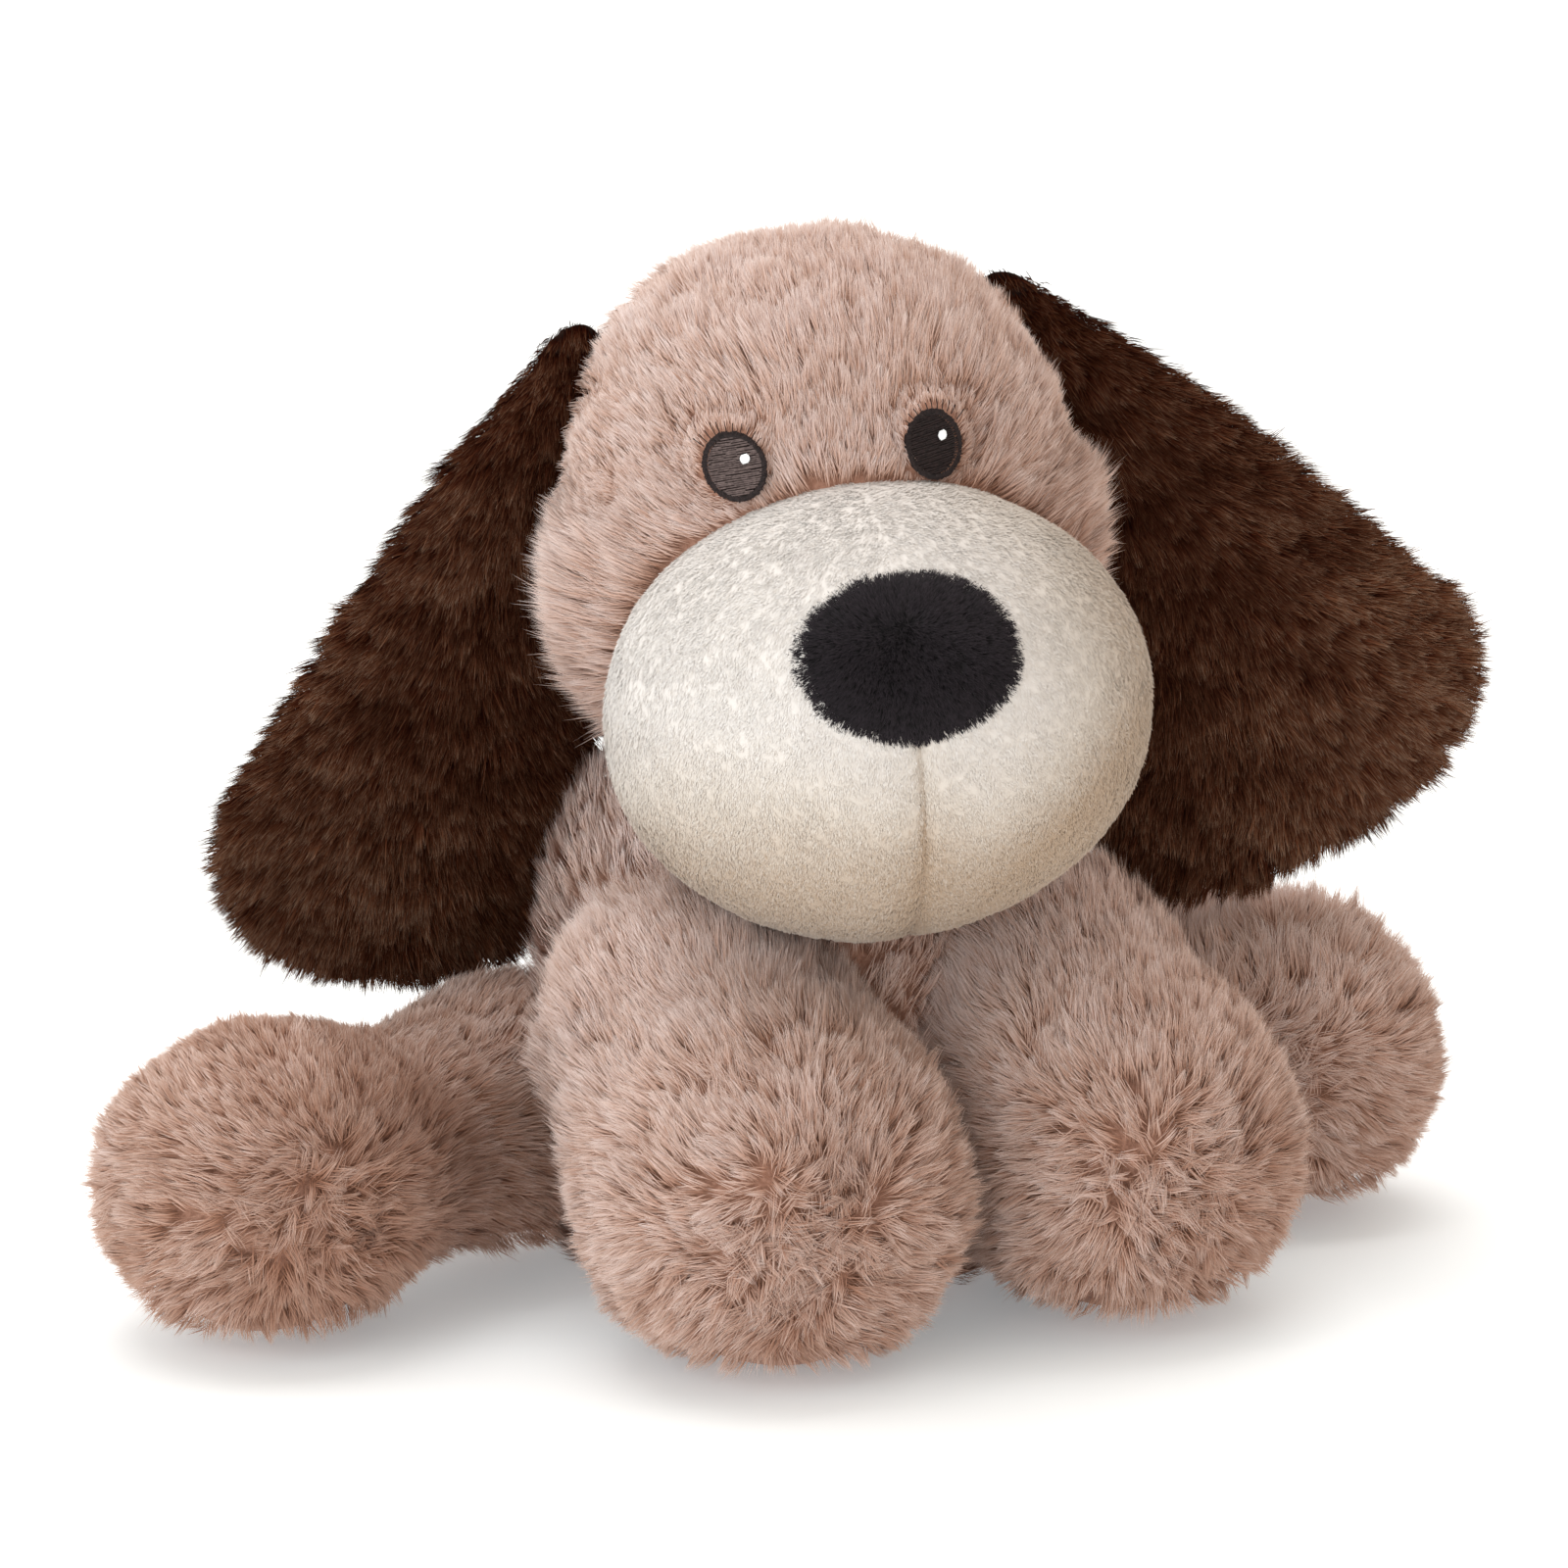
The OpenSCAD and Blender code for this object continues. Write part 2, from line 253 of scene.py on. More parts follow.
class Cloth:
    """A closed base surface, kept as a grid so that pile can be planted on it."""

    def __init__(self, name, q, shape_world, body, material, wobble=0.0, floor=0.6, extra=None):
        nz, na = q.shape[:2]
        p = shape_world(q.reshape(-1, 3))
        faces = grid_faces(nz, na)
        n = self._normals(p, faces, p.mean(0))
        if extra is not None:
            p = p + n * extra(p)[:, None]
        if wobble:
            p = p + n * (wave(p, 30, 3) * wobble)[:, None]
        p[:, 2] = np.maximum(p[:, 2], floor)
        self.p, self.faces = p, faces
        self.n = self._normals(p, faces, None, n)
        self.name, self.body = name, body
        self.ob = new_object(name, p, drop_empty(p, faces), body, None, material)
        weld(self.ob)

    @staticmethod
    def _normals(p, faces, centre, like=None):
        a, b, c, d = (p[faces[:, i]] for i in range(4))
        fn = np.cross(c - a, d - b)
        n = np.zeros_like(p)
        for i in range(4):
            np.add.at(n, faces[:, i], fn)
        n = unit(n)
        ref = (p - centre) if centre is not None else like
        flip = np.sum(n * ref) < 0
        return -n if flip else n

    def scatter(self, count, keep):
        """Random places on the surface, evenly by area, where keep(p, n) is true."""
        f = self.faces
        tri = np.concatenate([f[:, [0, 1, 2]], f[:, [0, 2, 3]]])
        a, b, c = (self.p[tri[:, i]] for i in range(3))
        area = np.linalg.norm(np.cross(b - a, c - a), axis=1) / 2
        mids = (a + b + c) / 3
        nm = unit(self.n[tri[:, 0]] + self.n[tri[:, 1]] + self.n[tri[:, 2]])
        area = area * keep(mids, nm)
        pick = rng.choice(len(tri), size=count, p=area / area.sum())
        u, v = rng.random(count), rng.random(count)
        over = u + v > 1
        u[over], v[over] = 1 - u[over], 1 - v[over]
        w = np.stack([1 - u - v, u, v], 1)[:, :, None]
        p = (self.p[tri[pick]] * w).sum(1)
        n = unit((self.n[tri[pick]] * w).sum(1))
        return p, n


def pile(name, p, n, flow, body, material, length=10.0, lift=(66, 32), spread=0.85, per=14, width=0.18,
         shade=None, gather=0.42, jitter=0.2, trim=None, droop=0.0, soft=0.8, floor=0.25, roll=0.4,
         tones=(0.07, 0.12)):
    """Plants tufts: each place in p grows `per` strands, which lean along flow and draw together."""
    m = len(p)
    t = unit(flow - n * np.sum(flow * n, 1, keepdims=True))
    s = np.cross(n, t)
    turn = (0.22 * wave(p, 14, 21) + rng.normal(0, jitter, m))[:, None]
    t, s = t * np.cos(turn) + s * np.sin(turn), s * np.cos(turn) - t * np.sin(turn)
    ln = np.broadcast_to(length, m) * (1 + 0.08 * wave(p, 9, 31) + rng.normal(0, 0.09, m))
    slow = 5 * wave(p, 11, 41)
    lift0 = np.radians(np.broadcast_to(lift[0], m) + slow + rng.normal(0, 6, m))
    lift1 = np.radians(np.broadcast_to(lift[1], m) + slow + rng.normal(0, 7, m))

    def rep(v):
        return np.repeat(v, per, 0)

    o = rng.normal(0, spread, (m * per, 2))
    pn, tt, ss = rep(n), rep(t), rep(s)
    root = rep(p) + tt * o[:, :1] + ss * o[:, 1:] - pn * 0.3
    j = rng.normal(0, 0.12, (m * per, 2))
    le = (rep(ln) * (1 + rng.normal(0, 0.13, m * per)))[:, None]
    a0 = rep(lift0) + j[:, 0]
    a1 = rep(lift1) + j[:, 0]
    tdir = unit(tt + ss * j[:, 1:])
    d0 = pn * np.sin(a0)[:, None] + tdir * np.cos(a0)[:, None]
    d1 = pn * np.sin(a1)[:, None] + tdir * np.cos(a1)[:, None]
    mid = root + le * (0.375 * d0 + 0.125 * d1)
    tip = root + le * (0.5 * d0 + 0.5 * d1)
    if droop:
        mid[:, 2] -= droop * 0.25
        tip[:, 2] -= droop
    cm = mid.reshape(m, per, 3).mean(1)
    ct = tip.reshape(m, per, 3).mean(1)
    g = rep(np.clip(rng.normal(gather, 0.18, m), 0.0, 0.8))[:, None]
    mid = mid + (rep(cm) - mid) * g * 0.45
    tip = tip + (rep(ct) - tip) * g
    tone = np.full(m, 0.5) if shade is None else shade
    tone = rep(tone + rng.normal(0, tones[0], m))
    if trim is not None:
        ok = trim(root, mid, tip)
        root, mid, tip, pn, tone = root[ok], mid[ok], tip[ok], pn[ok], tone[ok]
    ok = (tip[:, 2] > floor - 0.5) & ((pn[:, 2] > -0.35) | (tip[:, 2] > 4))
    root, mid, tip, pn, tone = root[ok], mid[ok], tip[ok], pn[ok], tone[ok]
    k = len(root)
    for v in (root, mid, tip):
        v[:, 2] = np.maximum(v[:, 2], floor)
    d = unit(tip - root)
    roll = rng.normal(0, roll, k)[:, None]
    side = unit(np.cross(d, pn))
    up = np.cross(side, d)
    side = side * np.cos(roll) + up * np.sin(roll)
    w = (width * rng.uniform(0.7, 1.3, k))[:, None]
    verts = np.stack([root, mid - side * w * 0.5, mid + side * w * 0.5, tip], 1).reshape(-1, 3)
    base = np.arange(k)[:, None] * 4
    tris = np.stack([base + [[0, 1, 2]], base + [[1, 3, 2]]], 1)
    inward = np.sum(np.cross(d, side) * pn, 1) < 0
    tris[inward] = tris[inward][:, :, ::-1]
    tris = tris.reshape(-1, 3)
    u = np.clip(tone + rng.normal(0, tones[1], k), 0.03, 0.97)
    uv = np.stack([
        np.stack([u, np.full(k, 0.02)], 1),
        np.stack([u - 0.004, np.full(k, 0.5)], 1),
        np.stack([u + 0.004, np.full(k, 0.5)], 1),
        np.stack([u, np.full(k, 0.98)], 1)], 1).reshape(-1, 2)
    ob = new_object(name, verts, [tris], body, uv, material)
    gn = unit(np.cross(side, d))
    gn = np.where(np.sum(gn * pn, 1, keepdims=True) < 0, -gn, gn)
    nrm = unit(pn * soft + gn * (1 - soft))
    ob.data.normals_split_custom_set_from_vertices(np.repeat(nrm, 4, 0))
    return ob


# ---------------------------------------------------------------- materials
def colour(r, g, b):
    """sRGB 0-255 to linear RGBA."""
    def lin(c):
        c /= 255
        return c / 12.92 if c <= 0.04045 else ((c + 0.055) / 1.055) ** 2.4
    return (lin(r), lin(g), lin(b), 1)


def shader(name, rough=0.9, sheen=0.0, tint=(1, 1, 1, 1), spec=0.3):
    m = bpy.data.materials.new(name)
    m.use_nodes = True
    b = m.node_tree.nodes["Principled BSDF"]
    b.inputs["Roughness"].default_value = rough
    b.inputs["Sheen Weight"].default_value = sheen
    b.inputs["Sheen Roughness"].default_value = 0.5
    b.inputs["Sheen Tint"].default_value = tint
    b.inputs["Specular IOR Level"].default_value = spec
    return m, m.node_tree, b


def ramp(nt, stops, source):
    r = nt.nodes.new("ShaderNodeValToRGB")
    els = r.color_ramp.elements
    while len(els) < len(stops):
        els.new(0.5)
    for e, (pos, c) in zip(els, stops):
        e.position, e.color = pos, c
    nt.links.new(source, r.inputs["Fac"])
    return r.outputs["Color"]


def pile_material(name, stops, tones, sheen=0.25, rough=0.85, tint=(1, 1, 1, 1), spec=0.2):
    """Colour runs from root to tip by v and from strand to strand by u."""
    m, nt, b = shader(name, rough, sheen, tint, spec)
    uv = nt.nodes.new("ShaderNodeUVMap")
    uv.uv_map = "OFBake"
    sep = nt.nodes.new("ShaderNodeSeparateXYZ")
    nt.links.new(uv.outputs["UV"], sep.inputs[0])
    along = ramp(nt, stops, sep.outputs["Y"])
    tone = ramp(nt, tones, sep.outputs["X"])
    mix = nt.nodes.new("ShaderNodeMix")
    mix.data_type, mix.blend_type = "RGBA", "MULTIPLY"
    mix.inputs["Factor"].default_value = 1
    nt.links.new(along, mix.inputs["A"])
    nt.links.new(tone, mix.inputs["B"])
    nt.links.new(mix.outputs["Result"], b.inputs["Base Color"])
    return m


def woven_material(name, dark, light, scale, bump=0.25, rough=0.95, sheen=0.1, distance=0.0004):
    m, nt, b = shader(name, rough, sheen, spec=0.2)
    tex = nt.nodes.new("ShaderNodeTexCoord")
    noise = nt.nodes.new("ShaderNodeTexNoise")
    noise.inputs["Scale"].default_value = scale
    noise.inputs["Detail"].default_value = 4
    nt.links.new(tex.outputs["Object"], noise.inputs["Vector"])
    nt.links.new(ramp(nt, [(0.3, dark), (0.7, light)], noise.outputs["Fac"]), b.inputs["Base Color"])
    bp = nt.nodes.new("ShaderNodeBump")
    bp.inputs["Strength"].default_value = bump
    bp.inputs["Distance"].default_value = distance
    nt.links.new(noise.outputs["Fac"], bp.inputs["Height"])
    nt.links.new(bp.outputs["Normal"], b.inputs["Normal"])
    return m


# Colour darkens towards the root: painted shade deep in the pile. The tone ramp's saturated dark end is the
# colour of painted shade, its paler end that of painted light.
TAUPE = pile_material(
    "pile_rose_taupe",
    [(0.0, colour(142, 98, 78)), (0.35, colour(190, 150, 131)), (0.7, colour(214, 186, 175)),
     (1.0, colour(236, 221, 217))],
    [(0.0, (0.57, 0.42, 0.33, 1)), (0.35, (0.85, 0.775, 0.72, 1)), (1.0, (1.0, 1.04, 1.07, 1))],
    sheen=0.12, tint=(1.0, 0.86, 0.78, 1),
)
# Colour darkens towards the root as painted shade deep in the pile; the pale grey top of the tone ramp is
# painted sheen.
BROWN = pile_material(
    "pile_dark_brown",
    [(0.0, colour(30, 8, 2)), (0.45, colour(60, 24, 10)), (0.8, colour(98, 66, 48)),
     (1.0, colour(150, 130, 114))],
    [(0.0, (0.20, 0.11, 0.07, 1)), (0.4, (0.55, 0.38, 0.30, 1)), (0.75, (1.0, 0.92, 0.86, 1)),
     (1.0, (1.7, 1.65, 1.6, 1))],
    sheen=0.0, rough=0.75, spec=0.03,
)
# The tan low end of the tone ramp is painted shade on the muzzle; the top end is a little lighter for its
# lit side.
CREAM = pile_material(
    "pile_cream",
    [(0.0, colour(209, 204, 200)), (0.5, colour(214, 209, 205)), (1.0, colour(218, 213, 209))],
    [(0.0, (0.58, 0.43, 0.30, 1)), (0.5, (0.88, 0.82, 0.75, 1)), (1.0, (1.08, 1.08, 1.09, 1))],
    sheen=0.15,
)
BLACK = pile_material(
    "pile_black",
    [(0.0, colour(10, 8, 9)), (0.6, colour(26, 20, 23)), (1.0, colour(52, 43, 49))],
    [(0.0, (0.7, 0.7, 0.75, 1)), (1.0, (1, 1, 1, 1))],
    sheen=0.1, rough=0.7,
)
TAUPE_CLOTH = woven_material("cloth_rose_taupe", colour(140, 99, 81), colour(170, 128, 109), 900)
BROWN_CLOTH = woven_material("cloth_dark_brown", colour(22, 9, 4), colour(42, 19, 10), 900)
BLACK_CLOTH = woven_material("cloth_black", colour(10, 8, 9), colour(22, 17, 19), 1200)
FIBRE = woven_material(
    "fibre_filling", colour(225, 224, 220), colour(248, 248, 246), 260, bump=0.6, distance=0.002)


def thread_material(name, dark, light, rough):
    return woven_material(name, dark, light, 1500, rough=rough, sheen=0.0)


GREY_THREAD = thread_material("thread_grey", colour(72, 59, 57), colour(108, 93, 90), 0.55)
BLACK_THREAD = thread_material("thread_black", colour(22, 15, 15), colour(46, 34, 33), 0.5)
DARK_THREAD = thread_material("thread_ground", colour(24, 16, 15), colour(40, 28, 26), 0.8)
WHITE_THREAD = thread_material("thread_white", colour(228, 230, 232), colour(252, 252, 252), 0.5)

for node_name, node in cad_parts.items():
    if "filling" in node_name:
        node.data.materials.clear()
        node.data.materials.append(FIBRE)

# ---------------------------------------------------------------- eyes: where they are
EYES = {"left": 17.0, "right": -24.0}
EYE_Z, EYE_W, EYE_H = 10.0, 6.2, 7.0
WINDOW = {"left": (1.5, 0.3, 4.8, 6.8), "right": (-0.7, 0.7, 5.9, 6.7)}


def eye_reach(q):
    """1 at the rim of the nearer eye, less inside, for points in head coordinates."""
    best = np.full(len(q), 9.0)
    for x in EYES.values():
        e = np.hypot((q[:, 0] - x) / EYE_W, (q[:, 2] - EYE_Z) / EYE_H)
        best = np.minimum(best, np.where(q[:, 1] < 0, e, 9.0))
    return best


def on_face(x, z, g):
    r = head_radius(np.asarray(z, float), g)
    y = -np.sqrt(np.maximum(r * r - np.asarray(x, float) ** 2, 1))
    return np.stack([np.broadcast_to(x, y.shape), y, np.broadcast_to(z, y.shape)], -1)


# ---------------------------------------------------------------- base cloths
SKIN = -3.8
GROUND = 0.4  # lowest point of the cloth that rests on the floor
COUNT = 1.0
TUFTS = {
    "head_front": 7000, "head_back": 5000, "body": 6800, "leg": 7000,
    "ear_front": 7000, "ear_back": 5000, "muzzle": 14000, "nose": 6000,
}


def head_extra(p):
    e = eye_reach(to_head(p))
    return 2.4 * (1 - step(0.9, 1.35, e))


head = Cloth(
    "head_cloth", HEAD.grid(SKIN, 110, 150), HEAD.world, "head", TAUPE_CLOTH, 0.5, extra=head_extra)
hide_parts("head_skin")


def body_grid(nz, na):
    q = BODY.grid(SKIN, nz, na)
    q[:, :, 2] = np.maximum(q[:, :, 2], GROUND)
    return q


body = Cloth("body_cloth", body_grid(90, 120), BODY.world, "body", TAUPE_CLOTH, 0.5, floor=GROUND)
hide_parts("body_skin")

legs = {}
for leg_name, leg in LEGS.items():
    sole_dir = SOLE[leg_name]

    def sole_extra(p, leg=leg, sole_dir=sole_dir):
        v = unit(p - leg.paw)
        ang = np.degrees(np.arccos(np.clip(v @ sole_dir, -1, 1)))
        ring = math.degrees(math.asin(SOLE_R / leg.paw_r))
        return -0.5 * np.exp(-((ang - ring) / 3.0) ** 2)

    legs[leg_name] = Cloth(
        f"{leg_name}_cloth", leg.grid(SKIN, 90, 90), leg.world, leg_name, TAUPE_CLOTH, 0.5,
        floor=GROUND, extra=sole_extra)
    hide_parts(f"{leg_name}_skin", f"{leg_name}_sole")


def muzzle_panel(side):
    """One half of the muzzle as a grid of rings, from the centre seam out to its side."""
    nz, na = 90, 220
    a = np.linspace(0, 1, nz)
    z = 56 * np.sin(a * math.pi / 2)
    w = np.linspace(0, 2 * math.pi, na, endpoint=False)
    g = -0.5
    r = muzzle_radius(z, g)
    r[-1] = 0
    q = np.stack([np.repeat(side * z[:, None], na, 1), np.outer(r, -np.cos(w)), np.outer(r, np.sin(w))], -1)
    return q.reshape(-1, 3), nz, na


# ---------------------------------------------------------------- muzzle
def seam_dip(q):
    """Depth of the centre seam for points about the muzzle's middle, in head axes."""
    ang = np.degrees(np.arctan2(q[:, 2], -q[:, 1]))
    below = step(12, 2, ang) * step(-130, -60, ang)
    return -(0.8 * np.exp(-(q[:, 0] / 1.0) ** 2) + 0.8 * np.exp(-(q[:, 0] / 6.0) ** 2)) * below


def muzzle_painted_shade(n, q):
    """Painted shade: tan where the cloth turns down or away from the key lamp, and darker in the seam
    crease.
    """
    turned = 0.72 * step(0.25, -0.75, n[:, 2]) + 0.76 * step(-0.15, 0.85, n[:, 0])
    return np.clip(0.88 - turned + 0.10 * seam_dip(q), 0.04, 0.96)


class Panel(Cloth):
    def __init__(self, side):
        q, nz, na = muzzle_panel(side)
        n0 = unit(q / np.array([MUZZLE_HALF ** 2, MUZZLE_R ** 2, MUZZLE_R ** 2]))
        q = q + n0 * seam_dip(q)[:, None]
        n = n0 @ HEAD_TURN.T
        self.p = in_head(q + MUZZLE_IN_HEAD)
        self.p = self.p + n * (wave(self.p, 34, 9) * 0.3)[:, None]
        self.faces = grid_faces(nz, na)
        self.n = self._normals(self.p, self.faces, None, n)
        label = "left" if side > 0 else "right"
        # The cloth's colour takes the muzzle's painted tan shade.
        tone = muzzle_painted_shade(self.n, q)
        uvs = np.stack([tone, np.full(len(tone), 0.3)], 1)
        faces = drop_empty(self.p, self.faces)
        self.ob = new_object(f"muzzle_cloth_{label}", self.p, faces, "head", uvs, CREAM)
        weld(self.ob)
        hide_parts(f"muzzle_panel_{label}")


panels = {"left": Panel(1), "right": Panel(-1)}

# ---------------------------------------------------------------- nose
NOSE_TILT = 25.0
NOSE_W, NOSE_H = 24.2, 18.6
NOSE_D = np.array([0, -math.cos(math.radians(NOSE_TILT)), math.sin(math.radians(NOSE_TILT))])
NOSE_U = np.array([0, math.sin(math.radians(NOSE_TILT)), math.cos(math.radians(NOSE_TILT))])


def nose_point(s, t, h):
    r = muzzle_radius(s, -1.0)
    w = np.sqrt(np.maximum(r * r - t * t, 1))
    q = MUZZLE_IN_HEAD + s[:, None] * X + t[:, None] * NOSE_U + (w + h)[:, None] * NOSE_D
    return in_head(q)


class NosePad(Cloth):
    def __init__(self):
        rings, na = 26, 96
        e = np.linspace(0, 1, rings)
        e = e ** 0.8
        w = np.linspace(0, 2 * math.pi, na, endpoint=False)
        ee, ww = np.meshgrid(e, w, indexing="ij")
        c, s_ = np.cos(ww), np.sin(ww)
        s = (NOSE_W - 1.5) * ee * np.sign(c) * np.abs(c) ** 0.92
        t = (NOSE_H - 1.5) * ee * np.sign(s_) * np.abs(s_) ** 0.92
        h = 3.4 * (1 - ee ** 4) - 0.6
        self.p = nose_point(s.ravel(), t.ravel(), h.ravel())
        self.faces = grid_faces(rings, na)
        centre = in_head((MUZZLE_IN_HEAD)[None, :])[0]
        self.n = self._normals(self.p, self.faces, centre)
        faces = drop_empty(self.p, self.faces)
        self.ob = new_object("nose_cloth", self.p, faces, "head", None, BLACK_CLOTH)
        weld(self.ob)
        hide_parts("nose_pad")


nose = NosePad()


def nose_reach(p):
    """1 at the rim of the nose, more outside it, for points near the muzzle's surface."""
    q = to_head(p) - MUZZLE_IN_HEAD
    front = q @ NOSE_D > 0
    e = np.hypot(q[:, 0] / NOSE_W, (q @ NOSE_U) / NOSE_H)
    return np.where(front, e, 9.0)


# ---------------------------------------------------------------- ears
EAR_ROOT = np.array([49, 11, 23.5])
EAR_LEN, EAR_END_R, EAR_ROOT_R = 115.0, 38.0, 9.0
EAR_INSET = 1.5
EAR = {"left": (1, 31.8, 6.5, 0), "right": (-1, 24.5, 17, -15)}
EAR_HEM = {"left": 12.0, "right": 4.5}
EAR_INNER = {"left": 15.0, "right": 4.0}
# Fullness of the outer and the inner lower corner, and how far the inner one is drawn up
EAR_CORNERS = {"left": (3.2, 4.0, 6.0), "right": (2.3, 4.0, 0.0)}


def ear_frame(side, flare, back, turn):
    return rot("Y", -side * flare) @ rot("X", back) @ rot("Z", side * turn)


class Ear(Cloth):
    """A flat drop-shaped bag: w runs round its section, s from root to tip."""

    def __init__(self, label):
        side, flare, back, turn = EAR[label]
        self.side, self.inner, self.end = side, EAR_INNER[label], EAR_LEN + EAR_END_R - EAR_HEM[label]
        nz, na = 90, 72
        low, high = -(EAR_ROOT_R + 3), self.end
        a = np.linspace(0, 1, nz)
        s = low + (high - low) * (1 - np.cos(a * math.pi)) / 2
        w = np.linspace(0, 2 * math.pi, na, endpoint=False)
        full_outer, full_inner, self.drawn_up = EAR_CORNERS[label]
        half, half_inner = self.half_width(s, full_outer), self.half_width(s, full_inner)
        thick = 3.4 * bulge(np.clip((s - 60) / (high - 60), 0, 1), 2.5) * step(low, 12, s) + 0.2
        thick[0] = thick[-1] = 0
        half[0] = half[-1] = half_inner[0] = half_inner[-1] = 0
        x = np.where(self.side * np.cos(w) > 0, np.outer(half, np.cos(w)), np.outer(half_inner, np.cos(w)))
        y = np.outer(thick, np.sin(w))
        z = np.repeat(-s[:, None], na, 1)
        q = np.stack([x, y, z], -1).reshape(-1, 3)
        q = self.shape(q)
        r = ear_frame(side, flare, back, turn)
        qh = q @ r.T + EAR_ROOT * [side, 1, 1]
        self.frame_turn = HEAD_TURN @ r
        self.p = in_head(qh)
        self.faces = grid_faces(nz, na)
        one = np.ones(nz)
        flat = np.stack([np.outer(one, np.cos(w)) * 0.25, np.outer(one, np.sin(w)), np.zeros((nz, na))], -1)
        flat = flat.reshape(-1, 3)
        like = flat @ self.frame_turn.T
        self.n = self._normals(self.p, self.faces, None, like)
        self.down = unit(self.frame_turn @ np.array([0, 0, -1.0]))
        self.root = in_head((EAR_ROOT * [side, 1, 1])[None, :])[0]
        faces = drop_empty(self.p, self.faces)
        self.ob = new_object(f"ear_{label}_cloth", self.p, faces, f"ear_{label}", None, BROWN_CLOTH)
        weld(self.ob)
        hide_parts(f"ear_{label}_front", f"ear_{label}_back")

    def half_width(self, s, power):
        r0, r1 = EAR_ROOT_R - EAR_INSET, EAR_END_R - EAR_INSET
        k = (r1 - r0) / EAR_LEN
        side = (r0 + k * s) / math.sqrt(1 - k * k)
        rise = EAR_ROOT_R + 3.0
        root = r0 * np.sqrt(np.maximum(1 - (s / rise) ** 2, 0))
        start = EAR_LEN - r1 * k
        cap = r1 * bulge((s - start) / (self.end - start), power)
        side = side + 2.0 * np.sin(math.pi * np.clip(s / start, 0, 1))
        return np.where(s < 0, root, np.where(s > start, cap, side))

    def shape(self, q):
        """Bends the flat bag a little, as soft plush hangs, and widens its inner lower corner."""
        s = -q[:, 2]
        q = q.copy()
        q[:, 1] += 3.0 * np.cos(q[:, 0] / 34 * 1.4) * step(20, 90, s) - 3.0 * step(20, 90, s)
        q[:, 1] += -2.5 * np.sin(s / 150 * math.pi)
        inner = np.maximum(-self.side * q[:, 0], 0) / 36
        q[:, 0] -= self.side * self.inner * inner * step(40, 105, s)
        q[:, 2] += self.drawn_up * inner * step(85, 140, s)
        return q

    def local(self, p):
        return (p - self.root) @ self.frame_turn


ears = {k: Ear(k) for k in EAR}

# ---------------------------------------------------------------- planting the pile
NEAR = 7.0


def hidden(p, shapes):
    out = np.zeros(len(p), bool)
    for s in shapes:
        out |= s.depth(p) > NEAR
    return out


def painted_light_and_patches(p, n):
    """Painted light: lighter where pile faces up or to the dog's right, towards the key lamp, and darker on
    the far side, with slow random patches.
    """
    return 0.42 + 0.18 * n[:, 2] - 0.16 * n[:, 0] + 0.10 * wave(p, 16, 5)


# By how much the pile on top of a leg is longer, and by how much painted shade darkens a leg's pile
TOP_PILE = {"hindleg_right": -0.4, "hindleg_left": 0.3}
PAINTED_LEG_SHADE = {"hindleg_right": 0.22, "foreleg_left": 0.06}


def window_reach(q):
    """Like eye_reach, for the part of each eye that the pile leaves bare."""
    best = np.full(len(q), 9.0)
    for side, x in EYES.items():
        dx, dz, w, h = WINDOW[side]
        e = np.hypot((q[:, 0] - x - dx) / w, (q[:, 2] - EYE_Z - dz) / h)
        best = np.minimum(best, np.where(q[:, 1] < 0, e, 9.0))
    return best


def head_flow(p):
    """Swept away from the muzzle over brow and cheeks, and down behind."""
    q = to_head(p)
    behind = step(-12, 30, q[:, 1])[:, None]
    swept = unit(q - MUZZLE_IN_HEAD * [1, 1, 0.9])
    f = lerp(swept, np.stack([0.01 * q[:, 0], np.full(len(q), 0.2), -np.ones(len(q))], 1), behind)
    for ex in EYES.values():
        away = np.stack([q[:, 0] - ex, np.zeros(len(q)), q[:, 2] - EYE_Z], 1)
        near = (1 - step(1.0, 2.2, np.hypot(away[:, 0] / EYE_W, away[:, 2] / EYE_H))) * (q[:, 1] < 0)
        f += 0.5 * unit(away) * near[:, None]
    return f @ HEAD_TURN.T


def head_keep(p):
    q = to_head(p)
    bad = hidden(p, [BODY])
    bad |= MUZZLE.depth(p) > 1.0
    bad |= eye_reach(q) < 0.98
    return ~bad


def head_trim(root, mid, tip):
    e = np.minimum(window_reach(to_head(tip)), window_reach(to_head(mid)))
    ok = (e > 1.0 + rng.normal(0, 0.06, len(root))) | (rng.random(len(root)) < 0.012)
    ok &= MUZZLE.depth(tip) < rng.uniform(0.0, 2.5, len(root))
    return ok


def head_length(p):
    """Short round the eyes, the muzzle, the temples and the crown, longest on the cheeks."""
    q = to_head(p)
    wide = np.abs(q[:, 0])
    e = eye_reach(q)
    m = -MUZZLE.depth(p)
    sides = step(28, 46, wide) * step(-10, 4, q[:, 2]) * (1 - step(28, 42, q[:, 2]))
    cheeks = step(18, 40, wide) * (1 - step(-14, -2, q[:, 2]))
    crown = step(28, 46, q[:, 2])
    narrow = np.where(q[:, 0] < 0, 0.50, 0.30)
    lumps = 1 - narrow * sides + 0.45 * cheeks - 0.2 * crown + 0.14 * wave(p, 16, 12)
    return 9.2 * lumps * lerp(0.3, 1.0, step(1.0, 2.2, e)) * lerp(0.8, 1.0, step(0, 10, m))


